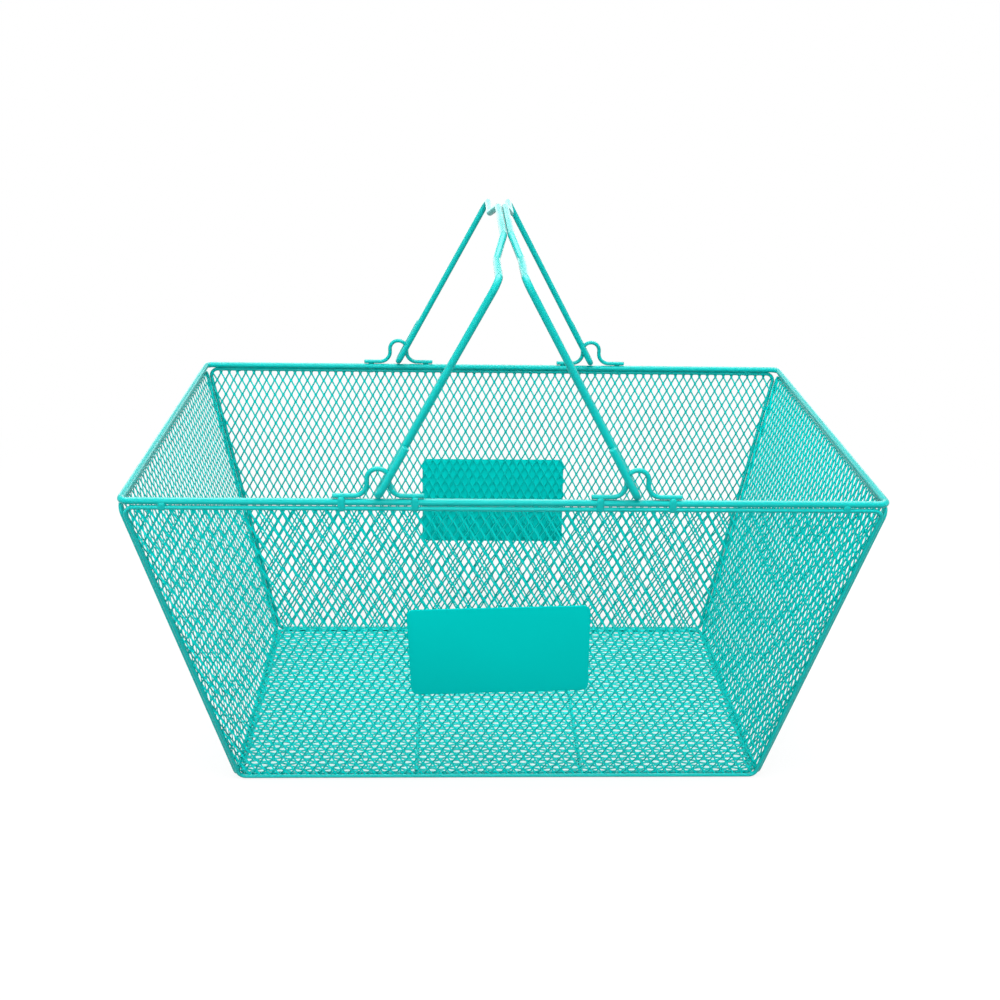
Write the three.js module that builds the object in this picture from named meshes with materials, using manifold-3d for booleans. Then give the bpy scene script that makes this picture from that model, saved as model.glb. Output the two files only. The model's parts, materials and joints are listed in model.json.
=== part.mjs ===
// Wire shopping basket: a rim wire over four leaning walls and a base, each an expanded-metal sheet in its
// own border wire, with two bail handles that hook into wire eyes on the rim.
// Millimetres, +Z up. X runs along the length and Y along the depth, with the front at -Y.
// The origin is on the ground under the middle of the base.
import * as THREE from "three";
import { mergeVertices } from "three/addons/utils/BufferGeometryUtils.js";
import Module from "manifold-3d";

// Rim, measured over the wire
const RIM_LENGTH = 430;
const RIM_DEPTH = 264;
const RIM_TOP = 206.5;
const RIM_WIRE = 4;
const RIM_CORNER = 4.5;

// Base, measured over the walls' bottom wires
const BASE_LENGTH = 336.8;
const BASE_DEPTH = 198;
const CROSS_WIRE_SPACING = 106;

// Border wires of the panels
const FRAME_WIRE = 2.6;
const FRAME_CORNER = 5;
const RIM_SEAM = 0.3; // open line between the rim and the walls' top wires
const WALL_OUT = 1.5; // of a wall's plane outside the rim's centre line, at its height
const CORNER_SEAM = 0.5; // open line between the side wires of two neighbouring walls

// Expanded metal: pitch of the diamonds along their short and long diagonals.
// The real sheet has the same proportions at about a fifth of this pitch.
const DIAMOND_SHORT = 29;
const DIAMOND_LONG = 52;
const STRAND = 3.9;
const SHEET = 0.8;
const HEM = 2.4; // closed edge of a sheet, along its border wire
const LEAST_OPENING = 0.12; // a cut-off diamond smaller than this share of a whole one stays closed

// Sign plates on the outside of the front and back walls
const PLATE_LENGTH = 107.5;
const PLATE_HEIGHT = 64.3;
const PLATE = 1;
const PLATE_CORNER = 4.5;
const FRONT_PLATE_TILT = 2; // degrees, as it was fixed
const FRONT_PLATE_SHIFT = -2.4; // to the left, as it was fixed

// Eyes for the handles: omega-shaped wires standing on the rim
const EYE_SPACING = 143; // between the left and the right eyes
const EYE_WIRE = 2.8;
const EYE_SPAN = 50.5; // over both feet
const EYE_ARCH = 15; // over the outside of the arch
const EYE_HEIGHT = 16; // from the feet to the top, on the centre line
const EYE_FILLET = 7.5;

// Weld beads between the rim and the top wires of the front and back walls
const WELD_LENGTH = 5;
const END_WELD_INSET = 23.2; // from the rim's end wires
const FOOT_WELD_INSET = 5; // from the ends of an eye's feet
const WELD_TOP = -5; // degrees round the rim wire where a bead starts
const WELD_FOOT = -10; // degrees round the frame wire where it ends
const WELD_ROOT = 30; // degrees that it keeps off the line between the two wires
const WELD_CROWN = 2.6; // below the rim's centre line, where it stands out most
const WELD_BULGE = 0.7; // outside the wires, of the curve that shapes it

// Handles: heights are measured from the hinge line, along the handle
const HANDLE_WIRE = 4.2;
const HOOK_PLAY = 0.5; // between a hook's two strands and the eye wire that they straddle
const HOOK_END = 33;
const SHOULDER_HEIGHT = 135.3;
const SHOULDER_HALF = 75;
const GRIP_RISE = 9.8; // of the grip above the shoulders
const GRIP_HALF = 48.5;
const HANDLE_CORNER = 7.5;
const GRIP_BEND = 10;

const CLEARANCE = 0.3; // between pieces that rest on each other
const RIM_SIDES = 12;
const WIRE_SIDES = 8;
const BEND_STEPS = 3;

const TEAL = 0x00b5ad;
const QUARTER = Math.PI / 2;

// Centre lines and planes that the pieces share
const rimHalfX = (RIM_LENGTH - RIM_WIRE) / 2;
const rimHalfY = (RIM_DEPTH - RIM_WIRE) / 2;
const rimZ = RIM_TOP - RIM_WIRE / 2;
const wallHalfX = rimHalfX + WALL_OUT; // to the walls' planes, at the rim's height
const wallHalfY = rimHalfY + WALL_OUT;
const footHalfX = (BASE_LENGTH - FRAME_WIRE) / 2;
const footHalfY = (BASE_DEPTH - FRAME_WIRE) / 2;
const footZ = FRAME_WIRE / 2;
const wireDistance = RIM_WIRE / 2 + RIM_SEAM + FRAME_WIRE / 2; // rim to top wire, centre to centre
const sheetInset = FRAME_WIRE / 2 + CLEARANCE;
const eyeX = EYE_SPACING / 2;
const hingeZ = RIM_TOP + CLEARANCE + HANDLE_WIRE / 2;

const wasm = await Module();
wasm.setup();

const basket = new THREE.Group();

// Adds one piece, with its own coat of paint, to a group.
function piece(parent, name, geometry, roughness = 0.42) {
  const paint = new THREE.MeshStandardMaterial({ color: TEAL, roughness, metalness: 0.05 });
  const mesh = new THREE.Mesh(geometry, paint);
  mesh.name = name;
  parent.add(mesh);
  return mesh;
}

// A group with its own place and turn inside another one.
function place(parent, [x, y, z], [rx, ry, rz] = [0, 0, 0]) {
  const group = new THREE.Group();
  group.position.set(x, y, z);
  group.rotation.set(rx, ry, rz);
  parent.add(group);
  return group;
}

// Half the angle of a corner, the direction that halves it and the one back to the point before it.
function halve(before, at, after) {
  const back = before.clone().sub(at).normalize();
  const ahead = after.clone().sub(at).normalize();
  const half = Math.acos(THREE.MathUtils.clamp(back.dot(ahead), -1, 1)) / 2;
  return { half, back, inward: back.clone().add(ahead).normalize() };
}

// The points of a bend: an arc of one radius that touches both sides of a corner.
function bend(before, at, after, radius) {
  const { half, back, inward } = halve(before, at, after);
  const centre = at.clone().addScaledVector(inward, radius / Math.sin(half));
  const start = at.clone().addScaledVector(back, radius / Math.tan(half));
  const left = Math.sign(at.clone().sub(before).cross(after.clone().sub(at)));
  const turn = left * (Math.PI - 2 * half);
  const steps = Array.from({ length: BEND_STEPS + 1 }, (_, k) => (turn * k) / BEND_STEPS);
  return steps.map((angle) => start.clone().rotateAround(centre, angle));
}

// A closed outline with each corner rounded to one radius.
function rounded(corners, radius) {
  const after = (i) => corners[(i + 1) % corners.length];
  return corners.flatMap((corner, i) => bend(corners.at(i - 1), corner, after(i), radius));
}

// Moves every side of a closed outline inwards by one distance.
function inset(corners, distance) {
  return corners.map((corner, i) => {
    const { half, inward } = halve(corners.at(i - 1), corner, corners[(i + 1) % corners.length]);
    return corner.clone().addScaledVector(inward, distance / Math.sin(half));
  });
}

// An upright trapezium with its bottom side on y = bottom, counter-clockwise from the lower left.
function trapezium(bottomHalf, topHalf, bottom, top) {
  return [
    new THREE.Vector2(-bottomHalf, bottom),
    new THREE.Vector2(bottomHalf, bottom),
    new THREE.Vector2(topHalf, top),
    new THREE.Vector2(-topHalf, top),
  ];
}

const rectangle = (halfX, halfY) => trapezium(halfX, halfX, -halfY, halfY);

// The path of a bent wire: each step of a sweep falls on one of its points, and the tangent there halves
// the turn between the two stretches that meet.
class WirePath extends THREE.Curve {
  constructor(line) {
    super();
    this.points = line.map(({ x, y }) => new THREE.Vector3(x, y, 0));
  }

  getPointAt(share, target = new THREE.Vector3()) {
    return target.copy(this.points[Math.round(share * (this.points.length - 1))]);
  }

  getTangentAt(share, target = new THREE.Vector3()) {
    const last = this.points.length - 1;
    const at = Math.round(share * last);
    target.set(0, 0, 0);
    for (const start of [at - 1, at]) {
      if (start < 0 || start === last) continue;
      target.add(this.points[start + 1].clone().sub(this.points[start]).normalize());
    }
    return target.normalize();
  }
}

// A round wire along a flat centre line in the XY plane, with one side of its section facing -Z.
function wire(line, diameter, sides = WIRE_SIDES) {
  const corner = new THREE.Vector2(diameter / 2, 0);
  const origin = new THREE.Vector2();
  const turns = Array.from({ length: sides }, (_, k) => ((k + 0.5) * 2 * Math.PI) / sides);
  const section = new THREE.Shape(turns.map((turn) => corner.clone().rotateAround(origin, turn)));
  const extrudePath = new WirePath(line);
  return new THREE.ExtrudeGeometry(section, { steps: line.length - 1, bevelEnabled: false, extrudePath });
}

// A wire bent round a closed outline. Its two ends meet in a butt joint in the middle of the first side.
function ring(corners, radius, diameter, sides) {
  const [first, second] = corners;
  const joint = first.clone().lerp(second, 0.5);
  const bends = rounded(corners, radius);
  const firstBend = bends.slice(0, BEND_STEPS + 1);
  const otherBends = bends.slice(BEND_STEPS + 1);
  const start = joint.clone().setX(joint.x + CLEARANCE / 2);
  const end = joint.clone().setX(joint.x - CLEARANCE / 2);
  return wire([start, ...otherBends, ...firstBend, end], diameter, sides);
}

// An open bent wire through corners given as [x, y, bend radius]; its ends have no radius.
function bentWire(corners, diameter) {
  const points = corners.map(([x, y]) => new THREE.Vector2(x, y));
  const line = points.flatMap((point, i) => {
    const radius = corners[i][2];
    return radius ? bend(points[i - 1], point, points[i + 1], radius) : [point];
  });
  const separate = (point, i) => i === 0 || point.distanceTo(line[i - 1]) > 1e-6;
  return wire(line.filter(separate), diameter);
}

// A flat plate of one thickness, lying on its own z = 0.
function plate(outline, thickness) {
  return new THREE.ExtrudeGeometry(new THREE.Shape(outline), { depth: thickness, bevelEnabled: false });
}

// A closed geometry as a solid that can be cut.
function solidOf(geometry) {
  geometry.deleteAttribute("normal");
  geometry.deleteAttribute("uv");
  const { index, attributes } = mergeVertices(geometry);
  const triVerts = new Uint32Array(index.array);
  return new wasm.Manifold(new wasm.Mesh({ numProp: 3, vertProperties: attributes.position.array, triVerts }));
}

// A cut solid as a geometry again.
function geometryOf(solid) {
  const { vertProperties, triVerts } = solid.getMesh();
  const geometry = new THREE.BufferGeometry();
  geometry.setAttribute("position", new THREE.BufferAttribute(vertProperties, 3));
  geometry.setIndex(new THREE.BufferAttribute(triVerts, 1));
  return geometry;
}

// What a convex window leaves of a convex polygon, both counter-clockwise.
function clip(polygon, window) {
  return window.reduce((kept, from, i) => {
    const edge = window[(i + 1) % window.length].clone().sub(from);
    const side = (point) => edge.cross(point.clone().sub(from));
    return kept.flatMap((point, k) => {
      const next = kept[(k + 1) % kept.length];
      const [here, there] = [side(point), side(next)];
      const inside = here >= 0 ? [point] : [];
      const crosses = here >= 0 !== there >= 0;
      return crosses ? [...inside, point.clone().lerp(next, here / (here - there))] : inside;
    });
  }, polygon);
}

// Diamond openings of an expanded sheet in staggered rows, as far as a window shows them.
function diamonds(window, pitchX, pitchY) {
  const box = new THREE.Box2().setFromPoints(window);
  const middle = box.getCenter(new THREE.Vector2());
  const share = 1 - (STRAND * Math.hypot(pitchX, pitchY)) / (pitchX * pitchY);
  const halfX = (share * pitchX) / 2;
  const halfY = (share * pitchY) / 2;
  const least = LEAST_OPENING * 2 * halfX * halfY;
  const rows = Math.ceil((box.max.y - box.min.y) / pitchY) + 1;
  const columns = Math.ceil((box.max.x - box.min.x) / pitchX / 2) + 1;
  const openings = [];
  for (let row = -rows; row <= rows; row += 1) {
    const stagger = row % 2 === 0 ? 0 : 0.5;
    for (let column = -columns; column <= columns; column += 1) {
      const x = middle.x + (column + stagger) * pitchX;
      const y = middle.y + (row * pitchY) / 2;
      const diamond = [
        new THREE.Vector2(x - halfX, y),
        new THREE.Vector2(x, y - halfY),
        new THREE.Vector2(x + halfX, y),
        new THREE.Vector2(x, y + halfY),
      ];
      const opening = clip(diamond, window);
      if (opening.length > 2 && THREE.ShapeUtils.area(opening) > least) openings.push(opening);
    }
  }
  return openings;
}

// An expanded-metal sheet: diamond openings cut right through a plate, with a closed hem along its edge.
function expandedSheet(corners, radius, pitchX, pitchY) {
  const openings = diamonds(inset(corners, HEM), pitchX, pitchY);
  const shapes = openings.map((opening) => new THREE.Shape(opening));
  const cutter = new THREE.ExtrudeGeometry(shapes, { depth: 3 * SHEET, bevelEnabled: false });
  cutter.translate(0, 0, -SHEET);
  const blank = plate(rounded(corners, radius), SHEET);
  return geometryOf(solidOf(blank).subtract(solidOf(cutter)));
}

// Rim
const rim = place(basket, [0, 0, rimZ]);
piece(rim, "rim_wire", ring(rectangle(rimHalfX, rimHalfY), RIM_CORNER, RIM_WIRE, RIM_SIDES), 0.38);

// A wall leans from its bottom wire out to the rim. Its own X runs along it, Y up the slope and Z outwards.
const leanOf = (wallHalf, footHalf) => Math.atan2(wallHalf - footHalf, rimZ - footZ);
const longLean = leanOf(wallHalfY, footHalfY); // of the front and back walls
const shortLean = leanOf(wallHalfX, footHalfX); // of the left and right walls

// How far a wall's top wire lies down its slope from the rim's height, for it to touch the rim from below.
const topWireDrop = (lean) => {
  const beside = WALL_OUT * Math.cos(lean);
  return WALL_OUT * Math.sin(lean) + Math.sqrt(wireDistance ** 2 - beside ** 2);
};

// The side wires of two walls keep clear of each other on both sides of their common corner edge.
const wallAngle = Math.PI - Math.acos(Math.sin(longLean) * Math.sin(shortLean));
const cornerInset = (FRAME_WIRE + CORNER_SEAM) / 2 / Math.sin(wallAngle / 2);

function wall(name, turn, lean, footDistance, footHalf, wallHalf) {
  const slope = (rimZ - footZ) / Math.cos(lean);
  const top = slope - topWireDrop(lean);
  const flare = Math.atan2(wallHalf - footHalf, slope);
  const sideInset = cornerInset / Math.cos(flare);
  const bottomHalf = footHalf - sideInset;
  const topHalf = footHalf + top * Math.tan(flare) - sideInset;
  const corners = trapezium(bottomHalf, topHalf, 0, top);

  const facing = place(basket, [0, 0, 0], [0, 0, turn]);
  const panel = place(facing, [0, -footDistance, footZ], [QUARTER + lean, 0, 0]);
  piece(panel, `${name}_panel_frame`, ring(corners, FRAME_CORNER, FRAME_WIRE));

  const sheet = expandedSheet(inset(corners, sheetInset), FRAME_CORNER - sheetInset, DIAMOND_SHORT, DIAMOND_LONG);
  piece(panel, `${name}_mesh`, sheet, 0.5).position.z = -SHEET / 2;
  return { facing, panel, middle: slope / 2 };
}

const front = wall("front", 0, longLean, footHalfY, footHalfX, wallHalfX);
const back = wall("back", 2 * QUARTER, longLean, footHalfY, footHalfX, wallHalfX);
wall("left", -QUARTER, shortLean, footHalfX, footHalfY, wallHalfY);
wall("right", QUARTER, shortLean, footHalfX, footHalfY, wallHalfY);

// Sign plates
for (const [name, { panel, middle }, shift, tilt] of [
  ["front", front, FRONT_PLATE_SHIFT, FRONT_PLATE_TILT],
  ["back", back, 0, 0],
]) {
  const turned = THREE.MathUtils.degToRad(tilt);
  const spot = place(panel, [shift, middle, SHEET / 2 + CLEARANCE], [0, 0, turned]);
  const outline = rounded(rectangle(PLATE_LENGTH / 2, PLATE_HEIGHT / 2), PLATE_CORNER);
  piece(spot, `${name}_sign_plate`, plate(outline, PLATE), 0.48);
}

// Base: its border wire lies inside the walls' bottom wires and stands on one side of its section.
// Two cross wires butt against it, and the sheet lies on all three.
const wireFlat = (FRAME_WIRE / 2) * Math.cos(Math.PI / WIRE_SIDES);
const baseInset = FRAME_WIRE + CLEARANCE;
const baseHalfX = footHalfX - baseInset;
const baseHalfY = footHalfY - baseInset;
const baseCorners = rectangle(baseHalfX, baseHalfY);
const base = place(basket, [0, 0, wireFlat]);
piece(base, "base_frame", ring(baseCorners, FRAME_CORNER, FRAME_WIRE));

const crossHalf = baseHalfY - FRAME_WIRE / 2 - CLEARANCE;
for (const [name, side] of [
  ["left", -1],
  ["right", 1],
]) {
  const x = (side * CROSS_WIRE_SPACING) / 2;
  piece(base, `base_cross_wire_${name}`, bentWire([[x, -crossHalf], [x, crossHalf]], FRAME_WIRE));
}

const baseSheet = expandedSheet(baseCorners, FRAME_CORNER, DIAMOND_LONG, DIAMOND_SHORT);
piece(base, "base_mesh", baseSheet, 0.5).position.z = wireFlat + CLEARANCE;

// Eyes on the front and back rim
const archRadius = (EYE_ARCH - EYE_WIRE) / 2;
const eyeFillet = Math.min(EYE_FILLET, EYE_HEIGHT - archRadius - CLEARANCE);
const eyeZ = RIM_TOP + CLEARANCE + EYE_WIRE / 2;
for (const [side, { facing }] of [
  ["front", front],
  ["back", back],
]) {
  for (const [end, x] of [
    ["left", -eyeX],
    ["right", eyeX],
  ]) {
    const spot = place(facing, [side === "front" ? x : -x, -rimHalfY, eyeZ], [QUARTER, 0, 0]);
    const omega = [
      [-EYE_SPAN / 2, 0],
      [-archRadius, 0, eyeFillet],
      [-archRadius, EYE_HEIGHT, archRadius],
      [archRadius, EYE_HEIGHT, archRadius],
      [archRadius, 0, eyeFillet],
      [EYE_SPAN / 2, 0],
    ];
    piece(spot, `${side}_${end}_bracket`, bentWire(omega, EYE_WIRE));
  }
}

// Weld beads fill the outer groove between the rim and a wall's top wire, seen along the rim with X outwards.
function weldBead() {
  const rimReach = RIM_WIRE / 2 + CLEARANCE;
  const wireReach = FRAME_WIRE / 2 + CLEARANCE;
  const drop = topWireDrop(longLean);
  const wireAt = new THREE.Vector2(WALL_OUT - drop * Math.sin(longLean), -drop * Math.cos(longLean));
  const [top, foot, root] = [WELD_TOP, WELD_FOOT, WELD_ROOT].map(THREE.MathUtils.degToRad);
  const groove = wireAt.angle() - 2 * Math.PI; // direction from the rim down to the frame wire
  const outline = new THREE.Shape();
  outline.absarc(0, 0, rimReach, top, groove + root, true);
  outline.absarc(wireAt.x, wireAt.y, wireReach, groove + Math.PI - root, foot, true);
  outline.quadraticCurveTo(rimReach + WELD_BULGE, -WELD_CROWN, rimReach * Math.cos(top), rimReach * Math.sin(top));
  return new THREE.ExtrudeGeometry(outline, { depth: WELD_LENGTH, bevelEnabled: false, curveSegments: 4 });
}

const footWeld = EYE_SPAN / 2 - FOOT_WELD_INSET;
const endWeld = rimHalfX - END_WELD_INSET;
const weldPlaces = [-endWeld, -eyeX - footWeld, -eyeX + footWeld, eyeX - footWeld, eyeX + footWeld, endWeld];
for (const [side, { facing }] of [
  ["front", front],
  ["back", back],
]) {
  weldPlaces.forEach((x, i) => {
    const spot = place(facing, [x + WELD_LENGTH / 2, -rimHalfY, rimZ], [QUARTER, -QUARTER, 0]);
    piece(spot, `weld_${side}_${i + 1}`, weldBead());
  });
}

// Handles: the hook at each end straddles its eye and rests on the rim. The handles lean inwards until their
// grips meet, and swing out until they lie on the ends of the rim.
const hookRadius = HANDLE_WIRE / 2 + HOOK_PLAY + EYE_WIRE / 2;
const legY = rimHalfY - hookRadius;
const hookY = rimHalfY + hookRadius;
const gripHeight = SHOULDER_HEIGHT + GRIP_RISE;
const lean = Math.asin((eyeX - HANDLE_WIRE / 2 - CLEARANCE / 2) / gripHeight);
const half = [
  [hookY, HOOK_END],
  [hookY, 0, hookRadius],
  [legY, 0, hookRadius],
  [legY, SHOULDER_HEIGHT, HANDLE_CORNER],
  [SHOULDER_HALF, SHOULDER_HEIGHT, GRIP_BEND],
  [GRIP_HALF, gripHeight, GRIP_BEND],
];
const mirrored = half.map(([y, ...rest]) => [-y, ...rest]).reverse();
for (const [name, side] of [
  ["left", -1],
  ["right", 1],
]) {
  const hinge = place(basket, [side * eyeX, 0, hingeZ], [0, -side * lean, 0]);
  const upright = place(hinge, [0, 0, 0], [QUARTER, QUARTER, 0]);
  piece(upright, `${name}_handle`, bentWire([...half, ...mirrored], HANDLE_WIRE), 0.38);
}

export default basket;
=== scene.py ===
import json
import math

import bpy
import numpy as np
from mathutils import Matrix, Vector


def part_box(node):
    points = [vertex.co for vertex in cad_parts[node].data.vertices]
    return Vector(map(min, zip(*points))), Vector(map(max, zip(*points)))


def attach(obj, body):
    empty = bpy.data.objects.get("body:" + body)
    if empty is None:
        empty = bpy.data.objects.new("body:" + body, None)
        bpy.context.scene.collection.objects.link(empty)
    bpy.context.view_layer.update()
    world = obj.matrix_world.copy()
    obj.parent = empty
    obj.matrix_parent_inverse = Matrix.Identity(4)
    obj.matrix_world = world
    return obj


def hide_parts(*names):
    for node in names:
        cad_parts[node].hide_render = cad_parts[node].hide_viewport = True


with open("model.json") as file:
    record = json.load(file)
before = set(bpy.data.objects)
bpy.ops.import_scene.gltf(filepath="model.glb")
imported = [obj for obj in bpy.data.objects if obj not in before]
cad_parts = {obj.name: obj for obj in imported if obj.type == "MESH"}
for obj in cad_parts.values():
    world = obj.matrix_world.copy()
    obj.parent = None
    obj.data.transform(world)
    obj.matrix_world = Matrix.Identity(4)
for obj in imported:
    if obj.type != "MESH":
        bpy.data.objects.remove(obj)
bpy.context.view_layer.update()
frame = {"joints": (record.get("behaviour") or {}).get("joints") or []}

MM = 0.001


# Rim: one thick round steel wire, bent to a rounded rectangle, its two ends butt welded and ground flush.
# The four walls hang from it and the eyes of the handles stand on it.
# Like every other piece it is powder coated in teal, after all the welding.
RIM_WIRE = 4.0 * MM
RIM_CORNER = 4.5 * MM
RIM_SIDES = 12  # of the CAD wire
RIM_FLAT = math.cos(math.pi / RIM_SIDES)  # share of its radius at which its flats lie

low, high = (np.array(corner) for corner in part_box("rim_wire"))
rim_half = (high - low)[:2] / 2 - RIM_FLAT * RIM_WIRE / 2
rim_z = (low[2] + high[2]) / 2

BEND_STEP = math.radians(7.5)
SHORTEST_STEP = 0.001 * MM
WIRE_SIDES = 24
CUT_RINGS = 5
SHARP = math.radians(50)


def unit(vectors):
    """Vectors divided by their own length."""
    return vectors / np.linalg.norm(vectors, axis=-1, keepdims=True)


def bent_line(corners, radii):
    """A flat line of straight runs joined by arcs. At a corner of half angle h, an arc of radius r starts
    r / tan(h) before the corner and turns about the point r / sin(h) along the line that halves it."""
    corners = np.asarray(corners, float)
    runs = []
    for at, radius in enumerate(radii):
        corner = corners[at]
        if not radius:
            runs.append(corner[None])
            continue
        back = unit(corners[at - 1] - corner)
        ahead = unit(corners[(at + 1) % len(corners)] - corner)
        half = math.acos(back @ ahead) / 2
        centre = corner + unit(back + ahead) * radius / math.sin(half)
        start = corner + back * radius / math.tan(half) - centre
        left = math.copysign(1, back[1] * ahead[0] - back[0] * ahead[1])
        sweep = left * (math.pi - 2 * half)
        turn = np.linspace(0, sweep, math.ceil(abs(sweep) / BEND_STEP) + 1)
        x = np.cos(turn) * start[0] - np.sin(turn) * start[1]
        y = np.sin(turn) * start[0] + np.cos(turn) * start[1]
        runs.append(centre + np.stack([x, y], 1))
    line = np.concatenate(runs)
    step = np.linalg.norm(np.diff(line, axis=0), axis=1)
    return line[np.concatenate([[True], step > SHORTEST_STEP])]


def wire(line, diameter, plane, cut_edge=None):
    """A round wire along a flat line: at each point a ring of its radius, spanned by the direction across
    the line and the normal of the plane. Without a cut edge the line is closed. With one it is open, and
    towards its ends the rings shrink along a quarter circle of that radius, up to a flat face."""
    origin, u, v = plane
    closed = cut_edge is None
    radii = np.full(len(line), diameter / 2)
    if not closed:
        quarter = np.linspace(0, math.pi / 2, CUT_RINGS)
        inset = cut_edge * (1 - np.sin(quarter))
        shrink = cut_edge * (1 - np.cos(quarter))
        first = line[0] + inset[::-1, None] * unit(line[1] - line[0])
        last = line[-1] + inset[:, None] * unit(line[-2] - line[-1])
        line = np.concatenate([first, line[1:-1], last])
        between = np.zeros(len(line) - 2 * CUT_RINGS)
        radii = diameter / 2 - np.concatenate([shrink[::-1], between, shrink])
    ahead = unit(np.roll(line, -1, axis=0) - line)
    behind = np.roll(ahead, 1, axis=0)
    if not closed:
        ahead[-1] = behind[-1]
        behind[0] = ahead[0]
    along = unit(ahead + behind)
    across = np.stack([-along[:, 1], along[:, 0]], 1)

    turn = np.arange(WIRE_SIDES) * 2 * math.pi / WIRE_SIDES
    flat = line[:, None] + (radii[:, None] * np.cos(turn))[..., None] * across[:, None]
    rise = radii[:, None] * np.sin(turn)
    points = origin + flat[..., :1] * u + flat[..., 1:] * v + rise[..., None] * np.cross(u, v)

    count = len(line)
    ring = np.arange(count if closed else count - 1)[:, None] * WIRE_SIDES
    after = (ring + WIRE_SIDES) % (count * WIRE_SIDES)
    here = np.arange(WIRE_SIDES)
    there = (here + 1) % WIRE_SIDES
    sides = np.stack([ring + here, ring + there, after + there, after + here], -1)
    faces = sides.reshape(-1, 4).tolist()
    if not closed:
        faces += [here[::-1].tolist(), (here + (count - 1) * WIRE_SIDES).tolist()]
    return points.reshape(-1, 3), faces


def joined(parts):
    """Several meshes as one: each part's faces count on from the points of the parts before it."""
    starts = np.cumsum([0] + [len(points) for points, _ in parts[:-1]])
    faces = [[int(start) + at for at in face] for start, (_, rows) in zip(starts, parts) for face in rows]
    return np.concatenate([points for points, _ in parts]), faces


def dress(name, shape, paint, slot, body, *nodes):
    """One finished piece: a smooth mesh in its paint, riding on a body in place of the CAD nodes."""
    points, faces = shape
    mesh = bpy.data.meshes.new(name)
    mesh.from_pydata(points, [], faces)
    mesh.polygons.foreach_set("use_smooth", np.ones(len(faces), bool))
    mesh.set_sharp_from_angle(angle=SHARP)
    mesh.materials.append(paint)
    obj = bpy.data.objects.new(name, mesh)
    bpy.context.scene.collection.objects.link(obj)
    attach(obj, body)
    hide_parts(*nodes)
    return obj


# Powder coat: baked grains of paint, so it has a soft orange-peel skin, a slightly uneven depth of colour
# from one stretch of a piece to the next, and fine grains that did not quite melt.
# the coat's teal, darkened for the wires and handles: painted shade on the same coat as the plates
SHADED_WIRE_TEAL = (0.0, 0.36, 0.338, 1.0)
COLOUR_DRIFT = 18.0  # waves in a metre, as for the next two
PEEL_WAVES = 900.0
GRAIN_WAVES = 2600.0
DRIFT_SHARE = 0.7  # of the unevenness; the grains make the rest
NOISE_MIDDLE = 0.5
NOISE_GAIN = 4.0  # noise keeps to about a quarter of its range on either side of its middle
MATT_DRIFT = 0.25  # in roughness, over the whole range of the drift
GRAIN_RISE = 0.25  # of the orange peel's
SKIN_STRENGTH = 0.6


def add_node(tree, kind, inputs=(), **settings):
    """A shader node with its settings; each input is joined to a socket or takes a plain value."""
    node = tree.nodes.new("ShaderNode" + kind)
    for key, value in settings.items():
        setattr(node, key, value)
    for key, value in dict(inputs).items():
        if isinstance(value, bpy.types.NodeSocket):
            tree.links.new(value, node.inputs[key])
        else:
            node.inputs[key].default_value = value
    return node


def reckon(tree, operation, *terms):
    """The result of one Math node: each of its terms is a socket or a plain number."""
    return add_node(tree, "Math", dict(enumerate(terms)), operation=operation).outputs[0]


def shader_group(name, inputs, outputs):
    """An empty node group with named sockets, and its own two ends."""
    tree = bpy.data.node_groups.new(name, "ShaderNodeTree")
    for title, kind in inputs:
        tree.interface.new_socket(title, in_out="INPUT", socket_type="NodeSocket" + kind)
    for title, kind in outputs:
        tree.interface.new_socket(title, in_out="OUTPUT", socket_type="NodeSocket" + kind)
    return tree, tree.nodes.new("NodeGroupInput").outputs, tree.nodes.new("NodeGroupOutput").inputs


coat, coat_in, coat_out = shader_group(
    "powder_coat",
    [("Paint", "Color"), ("Unevenness", "Float"), ("Roughness", "Float")],
    [("Colour", "Color"), ("Roughness", "Float"), ("Skin", "Float")],
)
place = add_node(coat, "TexCoord").outputs["Object"]
drift = add_node(coat, "TexNoise", {"Vector": place, "Scale": COLOUR_DRIFT, "Detail": 3.0}).outputs["Fac"]
peel = add_node(coat, "TexNoise", {"Vector": place, "Scale": PEEL_WAVES, "Detail": 1.0}).outputs["Fac"]
grain = add_node(coat, "TexNoise", {"Vector": place, "Scale": GRAIN_WAVES, "Detail": 2.0}).outputs["Fac"]
depth = reckon(coat, "MULTIPLY", drift, DRIFT_SHARE)
depth = reckon(coat, "MULTIPLY_ADD", grain, 1 - DRIFT_SHARE, depth)
depth = reckon(coat, "SUBTRACT", depth, NOISE_MIDDLE)
swing = reckon(coat, "MULTIPLY", coat_in["Unevenness"], NOISE_GAIN)
value = reckon(coat, "MULTIPLY_ADD", depth, swing, 1.0)
tinted = add_node(coat, "HueSaturation", {"Value": value, "Color": coat_in["Paint"]})
matt = reckon(coat, "SUBTRACT", drift, NOISE_MIDDLE)
matt = reckon(coat, "MULTIPLY_ADD", matt, MATT_DRIFT, coat_in["Roughness"])
skin = reckon(coat, "MULTIPLY_ADD", grain, GRAIN_RISE, peel)
coat.links.new(tinted.outputs["Color"], coat_out["Colour"])
coat.links.new(matt, coat_out["Roughness"])
coat.links.new(skin, coat_out["Skin"])


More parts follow.
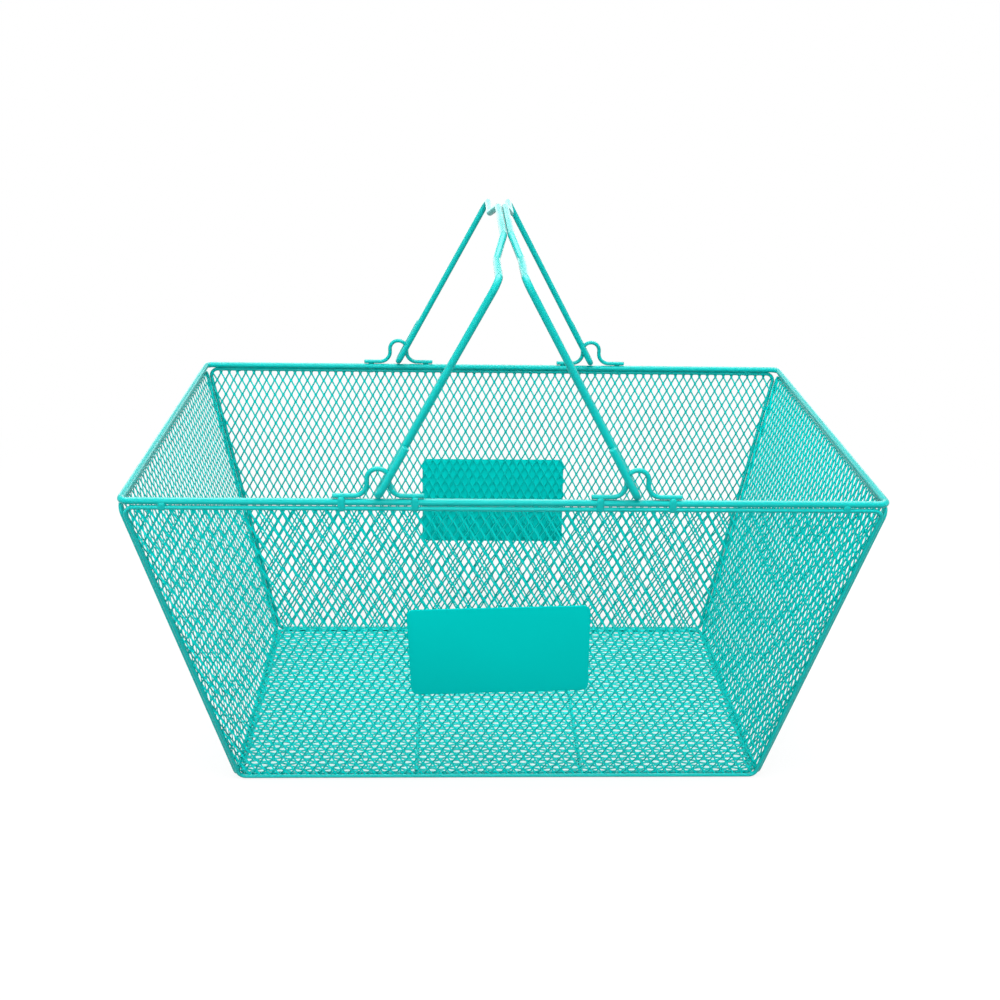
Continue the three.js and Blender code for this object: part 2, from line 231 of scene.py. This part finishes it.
def powder_coated(name, teal, roughness, gloss, unevenness, skin_depth, shaded=False):
    """A paint: the powder coat's colour, roughness and skin on one plain Principled shader. Where it is
    shaded, painted shade takes off the share of the colour's value that the piece gives in its
    attribute painted_shade."""
    paint = bpy.data.materials.new(name)
    paint.use_nodes = True
    tree = paint.node_tree
    shader = tree.nodes["Principled BSDF"]
    group = tree.nodes.new("ShaderNodeGroup")
    group.node_tree = coat
    group.inputs["Paint"].default_value = teal
    group.inputs["Unevenness"].default_value = unevenness
    group.inputs["Roughness"].default_value = roughness
    skin = {"Height": group.outputs["Skin"], "Strength": SKIN_STRENGTH, "Distance": skin_depth}
    bump = add_node(tree, "Bump", skin)
    colour = group.outputs["Colour"]
    if shaded:
        shade_share = add_node(tree, "Attribute", attribute_name="painted_shade").outputs["Fac"]
        value = reckon(tree, "SUBTRACT", 1.0, shade_share)
        colour = add_node(tree, "HueSaturation", {"Value": value, "Color": colour}).outputs["Color"]
    tree.links.new(colour, shader.inputs["Base Color"])
    tree.links.new(group.outputs["Roughness"], shader.inputs["Roughness"])
    tree.links.new(bump.outputs["Normal"], shader.inputs["Normal"])
    shader.inputs["Specular IOR Level"].default_value = gloss
    return paint


wire_paint = powder_coated(
    "wire_paint", SHADED_WIRE_TEAL, roughness=0.28, gloss=0.22, unevenness=0.04, skin_depth=0.005 * MM
)
X, Y, Z = np.eye(3)
SQUARE = np.array([[-1, -1], [1, -1], [1, 1], [-1, 1]])
rim_line = bent_line(rim_half * SQUARE, [RIM_CORNER] * 4)
rim_bar = wire(rim_line, RIM_WIRE, (rim_z * Z, X, Y))
dress("rim_bar", rim_bar, wire_paint, "wire_paint", "basket", "rim_wire")


# Border wires of the walls: a thinner wire round each panel, bent to a trapezium and butt welded.
# A wall leans out from its bottom wire up to the rim, and its top wire is welded under the rim.
FRAME_WIRE = 2.6 * MM
FRAME_CORNER = 5 * MM
FRAME_SIDES = 8  # of the CAD wires
FRAME_FLAT = math.cos(math.pi / FRAME_SIDES)
RIM_SEAM = 0.3 * MM  # between the rim and a top wire
WALL_OUT = 1.5 * MM  # of a wall's plane outside the rim's centre line, at its height
CORNER_SEAM = 0.5 * MM  # between the side wires of two walls
CLEARANCE = 0.3 * MM

low, high = (np.array(corner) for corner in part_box("base_frame"))
base_half = (high - low)[:2] / 2 - FRAME_FLAT * FRAME_WIRE / 2
base_z = (low[2] + high[2]) / 2
foot_half = base_half + FRAME_WIRE + CLEARANCE
foot_z = FRAME_WIRE / 2
rise = rim_z - foot_z
wall_half = rim_half + WALL_OUT
end_lean, front_lean = np.arctan2(wall_half - foot_half, rise)
wall_angle = math.pi - math.acos(math.sin(front_lean) * math.sin(end_lean))
corner_inset = (FRAME_WIRE + CORNER_SEAM) / 2 / math.sin(wall_angle / 2)
wire_distance = RIM_WIRE / 2 + RIM_SEAM + FRAME_WIRE / 2


def wall_plane(turn, lean, distance):
    """A wall's own plane: u along it, v up its slope, u x v outwards, turned about the upright."""
    ahead, aside = math.cos(turn), math.sin(turn)
    spin = np.array([[ahead, -aside, 0], [aside, ahead, 0], [0, 0, 1]])
    origin = np.array([0, -distance, foot_z])
    slope = np.array([0, -math.sin(lean), math.cos(lean)])
    return spin @ origin, spin @ X, spin @ slope


def wall_corners(lean, foot, rim):
    """The corners of a border wire: a trapezium that keeps the corner inset from the planes' common edge.
    Its top wire lies where the slope comes within one wire distance of the rim's centre line."""
    slope = rise / math.cos(lean)
    beside = WALL_OUT * math.cos(lean)
    top = slope - WALL_OUT * math.sin(lean) - math.sqrt(wire_distance ** 2 - beside ** 2)
    flare = math.atan2(rim - foot, slope)
    side = corner_inset / math.cos(flare)
    bottom_half = foot - side
    top_half = foot + top * math.tan(flare) - side
    return np.array([[-bottom_half, 0], [bottom_half, 0], [top_half, top], [-top_half, top]])


long_corners = wall_corners(front_lean, foot_half[0], wall_half[0])
end_corners = wall_corners(end_lean, foot_half[1], wall_half[1])
panels = {
    "front": (wall_plane(0, front_lean, foot_half[1]), long_corners),
    "back": (wall_plane(math.pi, front_lean, foot_half[1]), long_corners),
    "left": (wall_plane(-math.pi / 2, end_lean, foot_half[0]), end_corners),
    "right": (wall_plane(math.pi / 2, end_lean, foot_half[0]), end_corners),
}
for side, (plane, corners) in panels.items():
    border = wire(bent_line(corners, [FRAME_CORNER] * 4), FRAME_WIRE, plane)
    dress(f"{side}_border_wire", border, wire_paint, "wire_paint", "basket", f"{side}_panel_frame")


# Base border and stays: a rectangle of the same wire lies inside the walls' bottom wires.
# Two straight stays run from its front side to its back side, under the base sheet.
STAY_CUT = 0.4 * MM

base_plane = (base_z * Z, X, Y)
base_line = bent_line(base_half * SQUARE, [FRAME_CORNER] * 4)
base_border = wire(base_line, FRAME_WIRE, base_plane)
dress("base_border_wire", base_border, wire_paint, "wire_paint", "basket", "base_frame")

for side in ("left", "right"):
    low, high = (np.array(corner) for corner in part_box(f"base_cross_wire_{side}"))
    stay_x = (low[0] + high[0]) / 2
    stay_line = np.array([[stay_x, low[1]], [stay_x, high[1]]])
    stay = wire(stay_line, FRAME_WIRE, base_plane, cut_edge=STAY_CUT)
    dress(f"base_stay_{side}", stay, wire_paint, "wire_paint", "basket", f"base_cross_wire_{side}")


# Expanded metal: a steel sheet, slit in staggered rows and pulled open, so each strand between two rows of
# slits runs in a zigzag and stays one with its neighbours at the bonds. The sheet's cut edge is rolled
# over the border wire, but a wall's top edge ends flat in it. Painted shade darkens the strands, sheet by
# sheet, and most on their sheared edges.
DIAMOND_SHORT = 6.06 * MM
DIAMOND_LONG = 10.8 * MM
STRAND_WIDTH = 1.02 * MM
STRAND_THICK = 0.54 * MM
STRAND_TILT = {"front": 32, "back": 34, "left": 8, "right": 13, "base": 31}  # degrees, sheet by sheet
PAINTED_SHADE = {  # painted shade, as a share of the colour's value, on the strands' faces and on their sheared edges
    "front": (0.05, 0.45),
    "back": (0.24, 0.5),
    "left": (0.0, 0.1),
    "right": (0.0, 0.15),
    "base": (0.19, 0.52),
}
BOND_HALF = 0.75 * MM
# the coat's teal, lightened for the strands: painted light on the same coat as the plates
LIT_MESH_TEAL = (0.0, 0.58, 0.542, 1.0)
ROLL_STEPS = 7  # pieces of a strand between two bonds, where it is rolled
ROLL_SINK = 0.12 * MM  # of the strands' middle below the wire's surface, where the paint fills the seam
ROLL_RADIUS = FRAME_WIRE / 2 - ROLL_SINK
ROLL_START = 5 * MM  # before the border wire, where the sheet leaves its plane
ROLL_PAST = math.radians(-60)  # past the outermost line of the wire, where the rolled edge ends
BASE_ROLL_PAST = math.radians(10)
ARC_STEPS = 40
TOP_FACING = 0.9  # of a direction's rise, from where an edge counts as a wall's top
TINY = 1e-12  # stands in for a length of zero that is divided by


def border_distance(points, corners, radius):
    """Distance outwards from a rounded outline, and the direction: outside the outline inset by the radius
    it is the distance from the nearest point of its sides, less the radius."""
    after = np.roll(corners, -1, axis=0)
    along = unit(after - corners)
    outward = np.stack([along[:, 1], -along[:, 0]], 1)
    before = np.roll(outward, 1, axis=0)
    share = 1 + np.sum(outward * before, axis=1, keepdims=True)
    inner = corners - radius * (outward + before) / share
    length = np.linalg.norm(np.roll(inner, -1, axis=0) - inner, axis=1)
    away = points[:, None] - inner
    over = np.sum(away * outward, axis=2)
    run = np.clip(np.sum(away * along, axis=2), 0, length)
    gap = away - run[..., None] * along
    far = np.linalg.norm(gap, axis=2)
    pick = np.where(np.max(over, axis=1) > 0, np.argmin(far, axis=1), np.argmax(over, axis=1))
    row = np.arange(len(points))
    outside = np.max(over, axis=1) > 0
    distance = np.where(outside, far[row, pick], over[row, pick])
    nearest = gap[row, pick] / np.maximum(far[row, pick], TINY)[:, None]
    return distance - radius, np.where(outside[:, None], nearest, outward[pick])


def rolled_edge(start, radius, past, side):
    """The way of a sheet's edge over its border wire, by length from where it leaves its plane: a straight
    run that touches the roll's circle, then the circle's arc. Gives length, way out, rise and turn."""
    lift = math.asin(radius / start) if start else 0.0
    straight = math.sqrt(start ** 2 - radius ** 2) if start else 0.0
    arc = np.linspace(0, math.pi / 2 + lift + past, ARC_STEPS)
    angle = math.pi / 2 + lift - arc
    length = np.concatenate([[0.0], straight + radius * arc])
    out = np.concatenate([[-start], radius * np.cos(angle)])
    up = side * np.concatenate([[0.0 if start else radius], radius * np.sin(angle)])
    turn = side * np.concatenate([[lift], lift - arc])
    return length, out, up, turn


def expanded_sheet(corners, plane, tilt, roll, flat_top):
    """Zigzag strands k at half the short diagonal apart: at bond row j strand k lies at its left bond line
    where k + j is even and at its right one where it is odd, and runs straight between the rows. The two
    strands of a bond lie in one tilted strip, so one is a step higher. A point at a distance past the
    start of the roll moves along the rolled edge by that distance; with a flat top, the top edge ends in
    its wire instead. The third result marks the sheared edges."""
    origin, u, v = plane
    upward = np.cross(u, v)
    length, out, up, turn = roll
    lift, spread = math.sin(math.radians(tilt)), math.cos(math.radians(tilt))
    bond = STRAND_WIDTH / 2 * spread
    pitch = DIAMOND_SHORT / 2
    row = DIAMOND_LONG / 2
    start = -out[0]
    reach = length[-1] - start
    low = corners.min(axis=0) - reach - row
    high = corners.max(axis=0) + reach + row
    strand = np.arange(math.floor(low[0] / pitch), math.ceil(high[0] / pitch))
    rows = np.arange(math.floor(low[1] / row), math.ceil(high[1] / row))
    steps = np.linspace(BOND_HALF, row - BOND_HALF, ROLL_STEPS + 1)
    odd = (strand[:, None] + rows) % 2
    here = (strand[:, None] + odd) * pitch + np.where(odd == 1, -bond, bond)
    there = (strand[:, None] + 1 - odd) * pitch + np.where(odd == 1, bond, -bond)
    share = np.linspace(0, 1, ROLL_STEPS + 1)
    across = here[..., None] * (1 - share) + there[..., None] * share
    height = (rows[:, None] * row + steps)[None].repeat(len(strand), 0)
    flat = np.stack([across.reshape(len(strand), -1), height.reshape(len(strand), -1)], -1)
    step = lift * STRAND_WIDTH / 2 * (2 * odd[..., None] - 1) * (1 - 2 * share)
    count = flat.shape[1]
    flat = flat.reshape(-1, 2)
    step = step.ravel()
    knot = np.tile(np.isin(np.arange(ROLL_STEPS + 1), [0, ROLL_STEPS]), len(flat) // (ROLL_STEPS + 1))

    distance, direction = border_distance(flat, corners, FRAME_CORNER)
    capped = flat_top & (direction[:, 1] > TOP_FACING)
    inside = distance < np.where(capped, 0.0, reach)
    near = distance > -start - row / 2
    kept = np.flatnonzero(inside & (near | knot))
    breaks = np.cumsum(~inside)[kept]
    run = kept // count
    linked = (np.diff(run) == 0) & (np.diff(breaks) == 0)
    flat, distance, direction = flat[kept], distance[kept], direction[kept]
    step, capped = step[kept], capped[kept]

    travel = distance + start
    rolled = (travel > 0) & ~capped
    way_out = np.where(rolled, np.interp(travel, length, out), distance)
    rise = np.where(rolled, np.interp(travel, length, up), up[0])
    lean = np.where(rolled, np.interp(travel, length, turn), 0.0)
    moved = flat + direction * (way_out - distance)[:, None]
    outward = direction[:, :1] * u + direction[:, 1:] * v
    normal = upward * np.cos(lean)[:, None] - outward * np.sin(lean)[:, None]
    centre = origin + moved[:, :1] * u + moved[:, 1:] * v
    centre = centre + rise[:, None] * upward + step[:, None] * normal

    ahead = np.zeros_like(centre)
    ahead[:-1][linked] = unit(np.diff(centre, axis=0)[linked])
    along = ahead.copy()
    along[1:] += ahead[:-1]
    along = unit(along + TINY)
    across = unit(np.cross(normal, along))
    normal = np.cross(along, across)
    wide = STRAND_WIDTH / 2 * (spread * across + lift * normal)
    thick = STRAND_THICK / 2 * (spread * normal - lift * across)
    left, right = centre - wide, centre + wide
    points = np.stack([right + thick, left + thick, left - thick, right - thick], 1)

    at = np.flatnonzero(linked)[:, None] * 4
    here = np.arange(4)
    there = (here + 1) % 4
    quads = np.stack([at + there, at + here, at + 4 + here, at + 4 + there], -1).reshape(-1, 4)
    goes_on = np.concatenate([linked, [False]])
    comes_on = np.concatenate([[False], linked])
    first = np.flatnonzero(goes_on & ~comes_on)
    last = np.flatnonzero(comes_on & ~goes_on)
    faces = np.concatenate([quads, first[:, None] * 4 + here, last[:, None] * 4 + here[::-1]])
    used = np.unique(faces)
    number = np.zeros(len(points) * 4, int)
    number[used] = np.arange(len(used))
    ends = np.ones(len(faces) - len(quads))
    sides = [0.0, 1.0, 0.0, 1.0]  # face, edge, face, edge
    sheared = np.concatenate([np.tile(sides, len(at)), ends])
    return points.reshape(-1, 3)[used], number[faces].tolist(), sheared


mesh_paint = powder_coated(
    "mesh_paint", LIT_MESH_TEAL, roughness=0.35, gloss=0.08, unevenness=0.06, skin_depth=0.03 * MM, shaded=True
)
wall_roll = rolled_edge(ROLL_START, ROLL_RADIUS, ROLL_PAST, -1)
base_roll = rolled_edge(0.0, ROLL_RADIUS + STRAND_THICK / 2, BASE_ROLL_PAST, 1)
sheets = {side: (corners, plane, wall_roll, True) for side, (plane, corners) in panels.items()}
sheets["base"] = (base_half[::-1] * SQUARE, (base_z * Z, -Y, X), base_roll, False)
for side, (corners, plane, roll, flat_top) in sheets.items():
    *sheet, sheared = expanded_sheet(corners, plane, STRAND_TILT[side], roll, flat_top)
    obj = dress(f"{side}_expanded_metal", sheet, mesh_paint, "mesh_paint", "basket", f"{side}_mesh")
    # painted shade: the strands' faces darkened sheet by sheet, their sheared edges more
    face_shade, edge_shade = PAINTED_SHADE[side]
    shade_share = face_shade + (edge_shade - face_shade) * sheared
    obj.data.attributes.new("painted_shade", "FLOAT", "FACE").data.foreach_set("value", shade_share)


# Sign plates: a plain plate of sheet steel with rounded corners on the outside of the front wall and of
# the back wall, spot welded to the mesh before painting. The front one sits slightly crooked.
PLATE_TEAL = (0.0, 0.485, 0.456, 1.0)
PLATE_LENGTH = 107.5 * MM
PLATE_HEIGHT = 64.3 * MM
PLATE_CORNER = 4.5 * MM
PLATE_THICK = 1.0 * MM
PLATE_EDGE = 0.35 * MM
PLATE_LIFT = 0.7 * MM  # from the middle of the wall's sheet
PLATE_SHIFT = {"front": -2.4 * MM, "back": 0.0}
PLATE_TILT = {"front": math.radians(2), "back": 0.0}


def sign_plate(plane, middle, shift, tilt):
    """A rounded rectangle whose edge is a quarter circle on both faces: the outline is drawn in and lifted
    along the profile, and a flat face closes each side."""
    origin, u, v = plane
    half = np.array([PLATE_LENGTH, PLATE_HEIGHT]) / 2
    outline = bent_line(half * SQUARE, [PLATE_CORNER] * 4)
    ahead = unit(np.roll(outline, -1, axis=0) - outline)
    along = unit(ahead + np.roll(ahead, 1, axis=0))
    inward = np.stack([-along[:, 1], along[:, 0]], 1)
    quarter = np.linspace(0, math.pi / 2, CUT_RINGS)
    draw = PLATE_EDGE * np.concatenate([1 - np.sin(quarter), 1 - np.cos(quarter)])
    inner = PLATE_EDGE * (1 - np.cos(quarter))
    outer = PLATE_THICK - PLATE_EDGE * (1 - np.sin(quarter))
    lift = np.concatenate([inner, outer])
    rings = outline + draw[:, None, None] * inward
    turned = np.stack(
        [
            rings[..., 0] * math.cos(tilt) - rings[..., 1] * math.sin(tilt) + shift,
            rings[..., 0] * math.sin(tilt) + rings[..., 1] * math.cos(tilt) + middle,
        ],
        -1,
    )
    out = (PLATE_LIFT + lift)[:, None, None] * np.cross(u, v)
    points = origin + turned[..., :1] * u + turned[..., 1:] * v + out
    count = len(outline)
    here = np.arange(count)
    there = (here + 1) % count
    ring = np.arange(len(draw) - 1)[:, None] * count
    sides = np.stack([ring + here, ring + there, ring + count + there, ring + count + here], -1)
    faces = sides.reshape(-1, 4).tolist()
    faces += [here[::-1].tolist(), (here + (len(draw) - 1) * count).tolist()]
    return points.reshape(-1, 3), faces


plate_paint = powder_coated(
    "plate_paint", PLATE_TEAL, roughness=0.45, gloss=0.02, unevenness=0.02, skin_depth=0.04 * MM
)
for side, tilt in PLATE_TILT.items():
    plane, corners = panels[side]
    plate = sign_plate(plane, rise / math.cos(front_lean) / 2, PLATE_SHIFT[side], tilt)
    dress(f"{side}_sign", plate, plate_paint, "plate_paint", "basket", f"{side}_sign_plate")


# Eyes: short wires bent to an omega, two on the front and two on the back of the rim.
# Their feet lie along the top of the rim, and a handle's hook goes round the arch of each.
EYE_WIRE = 2.8 * MM
EYE_SPAN = 50.5 * MM
EYE_ARCH = 15 * MM  # over the outside
EYE_HEIGHT = 16 * MM  # on the centre line
EYE_FILLET = 7.5 * MM
EYE_CUT = 0.5 * MM
EYE_X = 71.5 * MM  # of an eye's middle from the basket's
eye_z = rim_z + RIM_WIRE / 2 + CLEARANCE + EYE_WIRE / 2
arch = (EYE_ARCH - EYE_WIRE) / 2
half_omega = [(-EYE_SPAN / 2, 0, 0), (-arch, 0, EYE_FILLET), (-arch, EYE_HEIGHT, arch)]
omega = np.array(half_omega + [(-x, z, r) for x, z, r in half_omega[::-1]])
omega_line = bent_line(omega[:, :2], omega[:, 2])
for side, y in (("front", -1), ("back", 1)):
    for end, x in (("left", -1), ("right", 1)):
        foot = np.array([x * EYE_X, y * rim_half[1], eye_z])
        eye = wire(omega_line, EYE_WIRE, (foot, X, Z), cut_edge=EYE_CUT)
        dress(f"{side}_{end}_eye", eye, wire_paint, "wire_paint", "basket", f"{side}_{end}_bracket")


# Weld beads: lumps of weld metal across the seam between the rim and the top wires, smoothed by the paint.
# Those under the eyes' feet run up over the rim's side and hold the feet as well.
BEAD_ROUND = 0.62  # below 1 a bead is squarer than a ball
BEAD_HALF = np.array([2.1, 1.25, 2.5]) * MM
FOOT_BEAD_HALF = np.array([2.2, 1.3, 4.3]) * MM
BEAD_OUT = 1.2 * MM  # from the rim's centre line
BEAD_DROP = 2.7 * MM
FOOT_BEAD_DROP = 0.9 * MM
END_BEAD_INSET = 23.2 * MM
FOOT_BEAD_INSET = 5 * MM
BEAD_ROWS = 17
BEAD_TURNS = 24


def weld_bead(centre, half):
    """A squared ball: each of its sines and cosines is raised to a power below 1 with its sign kept."""
    polar = np.linspace(0, math.pi, BEAD_ROWS)[1:-1, None]
    turn = np.arange(BEAD_TURNS) * 2 * math.pi / BEAD_TURNS

    def squared(wave):
        return np.sign(wave) * np.abs(wave) ** BEAD_ROUND

    x = squared(np.sin(polar)) * squared(np.cos(turn))
    y = squared(np.sin(polar)) * squared(np.sin(turn))
    z = squared(np.cos(polar)) + 0 * turn
    ball = np.stack([x, y, z], -1).reshape(-1, 3)
    points = centre + half * np.concatenate([[[0, 0, 1]], ball, [[0, 0, -1]]])
    here = np.arange(BEAD_TURNS)
    there = (here + 1) % BEAD_TURNS
    ring = 1 + np.arange(BEAD_ROWS - 3)[:, None] * BEAD_TURNS
    quads = np.stack([ring + here, ring + BEAD_TURNS + here, ring + BEAD_TURNS + there, ring + there], -1)
    bottom = 1 + (BEAD_ROWS - 3) * BEAD_TURNS
    foot = len(points) - 1
    faces = quads.reshape(-1, 4).tolist()
    faces += np.stack([0 * here, 1 + here, 1 + there], 1).tolist()
    faces += np.stack([bottom + there, bottom + here, foot + 0 * here], 1).tolist()
    return points, faces


end_bead = rim_half[0] - END_BEAD_INSET
foot_bead = EYE_SPAN / 2 - FOOT_BEAD_INSET
for side, y in (("front", -1), ("back", 1)):
    beads = []
    for x in (-end_bead, end_bead):
        centre = np.array([x, y * (rim_half[1] + BEAD_OUT), rim_z - BEAD_DROP])
        beads.append(weld_bead(centre, BEAD_HALF))
    for x in (-EYE_X - foot_bead, -EYE_X + foot_bead, EYE_X - foot_bead, EYE_X + foot_bead):
        centre = np.array([x, y * (rim_half[1] + BEAD_OUT), rim_z - FOOT_BEAD_DROP])
        beads.append(weld_bead(centre, FOOT_BEAD_HALF))
    nodes = [f"weld_{side}_{number + 1}" for number in range(len(beads))]
    dress(f"{side}_weld_beads", joined(beads), wire_paint, "wire_paint", "basket", *nodes)


# Handles: two bails of thick wire. Each end is folded back into a hook that straddles the arch of an eye,
# so the bail swings on it. They lean together at the top, where their grips rise between the shoulders.
HANDLE_WIRE = 4.2 * MM
HOOK_PLAY = 0.5 * MM
HOOK_END = 33 * MM
SHOULDER_HEIGHT = 135.3 * MM
SHOULDER_HALF = 75 * MM
GRIP_RISE = 9.8 * MM
GRIP_HALF = 48.5 * MM
HANDLE_CORNER = 7.5 * MM
GRIP_BEND = 10 * MM
HANDLE_CUT = 0.45 * MM

hook = HANDLE_WIRE / 2 + HOOK_PLAY + EYE_WIRE / 2
leg_y = rim_half[1] - hook
hook_y = rim_half[1] + hook
grip_height = SHOULDER_HEIGHT + GRIP_RISE
half_bail = [
    (hook_y, HOOK_END, 0),
    (hook_y, 0, hook),
    (leg_y, 0, hook),
    (leg_y, SHOULDER_HEIGHT, HANDLE_CORNER),
    (SHOULDER_HALF, SHOULDER_HEIGHT, GRIP_BEND),
    (GRIP_HALF, grip_height, GRIP_BEND),
]
whole_bail = np.array(half_bail + [(-y, s, r) for y, s, r in half_bail[::-1]])
bail_line = bent_line(whole_bail[:, :2], whole_bail[:, 2])
handle_paint = powder_coated(
    "handle_paint", SHADED_WIRE_TEAL, roughness=0.36, gloss=0.2, unevenness=0.04, skin_depth=0.005 * MM
)
for joint in frame["joints"]:
    hinge = np.array(joint["pos_m"])
    towards = -math.copysign(1, hinge[0])
    lean = math.asin((abs(hinge[0]) - HANDLE_WIRE / 2 - CLEARANCE / 2) / grip_height)
    upright = np.array([towards * math.sin(lean), 0, math.cos(lean)])
    bail = wire(bail_line, HANDLE_WIRE, (hinge, Y, upright), cut_edge=HANDLE_CUT)
    name = joint["child"]
    dress(name.replace("handle", "bail"), bail, handle_paint, "handle_paint", name, name)


# Studio: a white floor, which keeps a soft shadow and painted teal bounce light under the base, in a white
# world.
# Soft lamps stand low in front, overhead, at both sides and behind, and don't show in reflections.
# Two bright cards behind show in reflections alone, along the tops of the wires and on the grips.
FLOOR_HALF = 3.0
FLOOR_DROP = 0.4 * MM
SHADOW_SHARE = 0.15  # of the floor near the basket that is lit, and not plain white
FLOOR_WHITE = 0.75
FLOOR_BOUNCE = 0.12  # its colour for the light that it throws back up
SHADOW_REACH = (0.3, 0.75)  # metres from the basket's middle, between which the shadow ends
WHITE = (1.0, 1.0, 1.0, 1.0)
PAINTED_BOUNCE_TEAL = (0.72, 1.0, 0.985, 1.0)  # the floor's white with painted teal bounce light, as from the paint just above it
BOUNCE_EDGE = 0.03  # of the base's half length and width, over which the painted bounce light ends
SKY_LIGHT = 0.02

floor_mesh = bpy.data.meshes.new("floor")
floor_points = FLOOR_HALF * np.insert(SQUARE, 2, 0, axis=1) - FLOOR_DROP * Z
floor_mesh.from_pydata(floor_points, [], [[0, 1, 2, 3]])
floor = bpy.data.objects.new("floor", floor_mesh)
bpy.context.scene.collection.objects.link(floor)


def shown(tree):
    """1 for a camera ray, a reflection or a ray through glass, which meet the plain white, or else 0."""
    seen = add_node(tree, "LightPath").outputs
    straight = reckon(tree, "MAXIMUM", seen["Is Camera Ray"], seen["Is Transmission Ray"])
    return reckon(tree, "MAXIMUM", straight, seen["Is Glossy Ray"])


white = bpy.data.materials.new("white_floor")
white.use_nodes = True
tree = white.node_tree
tree.nodes.clear()
seen = shown(tree)
spot = add_node(tree, "TexCoord").outputs["Object"]
far = add_node(tree, "VectorMath", {0: spot}, operation="LENGTH").outputs["Value"]
near, beyond = SHADOW_REACH
plain = add_node(
    tree,
    "MapRange",
    {"Value": far, "From Min": near, "From Max": beyond, "To Min": 1 - SHADOW_SHARE, "To Max": 1.0},
    interpolation_type="SMOOTHSTEP",
).outputs["Result"]
plain = reckon(tree, "MULTIPLY", plain, seen)
bounce = {"Value": seen, "To Min": FLOOR_BOUNCE, "To Max": FLOOR_WHITE}
shade = add_node(tree, "MapRange", bounce).outputs["Result"]
lit = add_node(tree, "BsdfDiffuse", {"Color": shade}).outputs[0]
# painted teal bounce light on the floor under the base, fading out across its edges
aside = add_node(tree, "VectorMath", {0: spot}, operation="ABSOLUTE").outputs["Vector"]
aside = add_node(tree, "VectorMath", {0: aside, 1: (*(1 / base_half), 0.0)}, operation="MULTIPLY")
aside = add_node(tree, "SeparateXYZ", {"Vector": aside.outputs["Vector"]}).outputs
aside = reckon(tree, "MAXIMUM", aside["X"], aside["Y"])
edge = {"Value": aside, "From Min": 1 - BOUNCE_EDGE, "From Max": 1 + BOUNCE_EDGE}
clear = add_node(tree, "MapRange", edge).outputs["Result"]
# a Mix node's inputs 6 and 7 take colours, and its output 2 gives one
bounce_tint = add_node(tree, "Mix", {0: clear, 6: PAINTED_BOUNCE_TEAL, 7: WHITE}, data_type="RGBA").outputs[2]
glow = add_node(tree, "Emission", {"Color": bounce_tint, "Strength": 1.0}).outputs[0]
mixed = add_node(tree, "MixShader", {0: plain, 1: lit, 2: glow}).outputs[0]
add_node(tree, "OutputMaterial", {"Surface": mixed})
floor_mesh.materials.append(white)

world = bpy.data.worlds.new("white_world")
bpy.context.scene.world = world
world.use_nodes = True
tree = world.node_tree
tree.nodes.clear()
level = add_node(tree, "MapRange", {"Value": shown(tree), "To Min": SKY_LIGHT, "To Max": 1.0})
sky = add_node(tree, "Background", {"Color": WHITE, "Strength": level.outputs["Result"]}).outputs[0]
add_node(tree, "OutputWorld", {"Surface": sky})


def facing(place, target, roll=0.0):
    """The matrix of a lamp or camera at a place: its z axis runs back from the target, and its x axis is
    level but for a roll about that axis."""
    back = unit(np.array(place) - np.array(target))
    level = unit(np.cross(Z, back))
    side = math.cos(roll) * level + math.sin(roll) * np.cross(back, level)
    rows = np.eye(4)
    rows[:3] = np.stack([side, np.cross(back, side), back, place], 1)
    return Matrix(rows.tolist())


def lamp(name, place, target, size, watts):
    """A rectangular lamp that faces a target and isn't seen itself."""
    data = bpy.data.lights.new(name, "AREA")
    data.shape = "RECTANGLE"
    data.size, data.size_y = size
    data.energy = watts
    obj = bpy.data.objects.new(name, data)
    bpy.context.scene.collection.objects.link(obj)
    obj.matrix_world = facing(place, target)
    obj.visible_camera = False
    return obj


LAMP_TARGET = (0.0, 0.0, 0.1)
CARD_TARGET = (0.0, 0.0, 0.2)
for name, place, size, watts in (
    ("low_lamp", (-0.2, -2.2, 0.9), (1.6, 1.0), 45),
    ("over_lamp", (0.0, -0.5, 2.0), (3.0, 1.0), 68),
    ("left_lamp", (-1.8, -0.2, 0.6), (1.4, 0.8), 16),
    ("right_lamp", (1.8, -0.2, 0.6), (1.4, 0.8), 13),
    ("rear_lamp", (0.0, 2.2, 1.1), (1.6, 1.0), 20),
):
    lamp(name, place, LAMP_TARGET, size, watts).visible_glossy = False
for name, place, size, watts in (
    ("top_card", (0.0, 0.75, 2.0), (2.4, 1.9), 115),
    ("back_card", (0.0, 2.2, 0.375), (3.0, 0.75), 20),
):
    lamp(name, place, CARD_TARGET, size, watts).visible_diffuse = False


# Camera: in front of the basket, a little to the left of its middle and above it, looking down into it.
# Its lens, place and roll were fitted to the outlines of all the pieces at once.
LENS = 44.71
SENSOR = 36.0
EYE_AT = np.array([-30.1, -762.8, 471.35]) * MM
LOOK_AT = np.array([0.9, 0.0, 151.57]) * MM
ROLL = 0.02105
CLIP_START = 10 * MM

camera_data = bpy.data.cameras.new("camera")
camera_data.lens = LENS
camera_data.sensor_width = SENSOR
camera_data.clip_start = CLIP_START
camera = bpy.data.objects.new("camera", camera_data)
bpy.context.scene.collection.objects.link(camera)
camera.matrix_world = facing(EYE_AT, LOOK_AT, ROLL)
bpy.context.scene.camera = camera
bpy.context.scene.view_settings.view_transform = "Standard"
